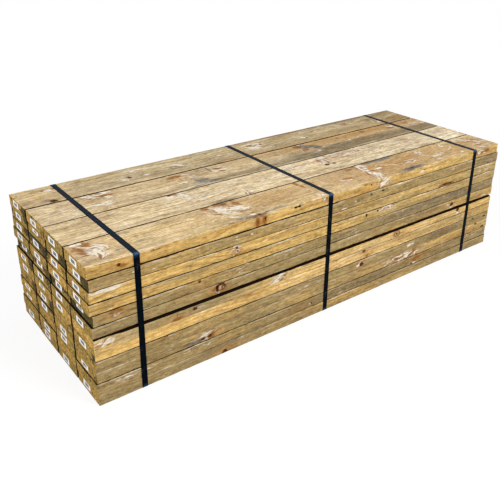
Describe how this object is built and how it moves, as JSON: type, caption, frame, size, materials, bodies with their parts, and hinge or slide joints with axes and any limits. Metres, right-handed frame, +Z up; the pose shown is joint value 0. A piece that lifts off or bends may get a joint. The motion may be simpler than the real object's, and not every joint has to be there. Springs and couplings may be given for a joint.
{
  "type": "bundle of timber sleepers",
  "caption": "Rectangular pack of treated pine landscaping sleepers stacked face to face in courses and held together by black steel straps, with tags on one end.",
  "frame": {"origin": "middle of the bundle's underside, where the straps meet the floor", "axes": "+X along the sleepers away from the labelled ends, +Y from the front long side to the back one, +Z up"},
  "size_m": [2.4004, 0.8236, 0.6018],
  "materials": {
    "treated_pine": "rough sawn, unfinished, partly weathered",
    "black_strap": "satin black paint",
    "strap_seal": "satin black paint",
    "label_stock": "matt white film"
  },
  "bodies": {
    "root": {"sleeper_01a": "treated_pine", "sleeper_01b": "treated_pine", "sleeper_01c": "treated_pine", "sleeper_01d": "treated_pine", "sleeper_02a": "treated_pine", "sleeper_02b": "treated_pine", "sleeper_02c": "treated_pine", "sleeper_02d": "treated_pine", "sleeper_03a": "treated_pine", "sleeper_03b": "treated_pine", "sleeper_03c": "treated_pine", "sleeper_03d": "treated_pine", "sleeper_04a": "treated_pine", "sleeper_04b": "treated_pine", "sleeper_04c": "treated_pine", "sleeper_04d": "treated_pine", "sleeper_05a": "treated_pine", "sleeper_05b": "treated_pine", "sleeper_05c": "treated_pine", "sleeper_05d": "treated_pine", "sleeper_06a": "treated_pine", "sleeper_06b": "treated_pine", "sleeper_06c": "treated_pine", "sleeper_06d": "treated_pine", "sleeper_07a": "treated_pine", "sleeper_07b": "treated_pine", "sleeper_07c": "treated_pine", "sleeper_07d": "treated_pine", "sleeper_08a": "treated_pine", "sleeper_08b": "treated_pine", "sleeper_08c": "treated_pine", "sleeper_08d": "treated_pine", "sleeper_09a": "treated_pine", "sleeper_09b": "treated_pine", "sleeper_09c": "treated_pine", "sleeper_09d": "treated_pine", "sleeper_10a": "treated_pine", "sleeper_10b": "treated_pine", "sleeper_10c": "treated_pine", "sleeper_10d": "treated_pine", "sleeper_11a": "treated_pine", "sleeper_11b": "treated_pine", "sleeper_11c": "treated_pine", "sleeper_11d": "treated_pine", "sleeper_12a": "treated_pine", "sleeper_12b": "treated_pine", "sleeper_12c": "treated_pine", "sleeper_12d": "treated_pine", "strap_1": "black_strap", "strap_2": "black_strap", "strap_3": "black_strap", "strap_seal_1": "strap_seal", "strap_seal_2": "strap_seal", "strap_seal_3": "strap_seal", "end_labels": "label_stock"}
  },
  "joints": []
}
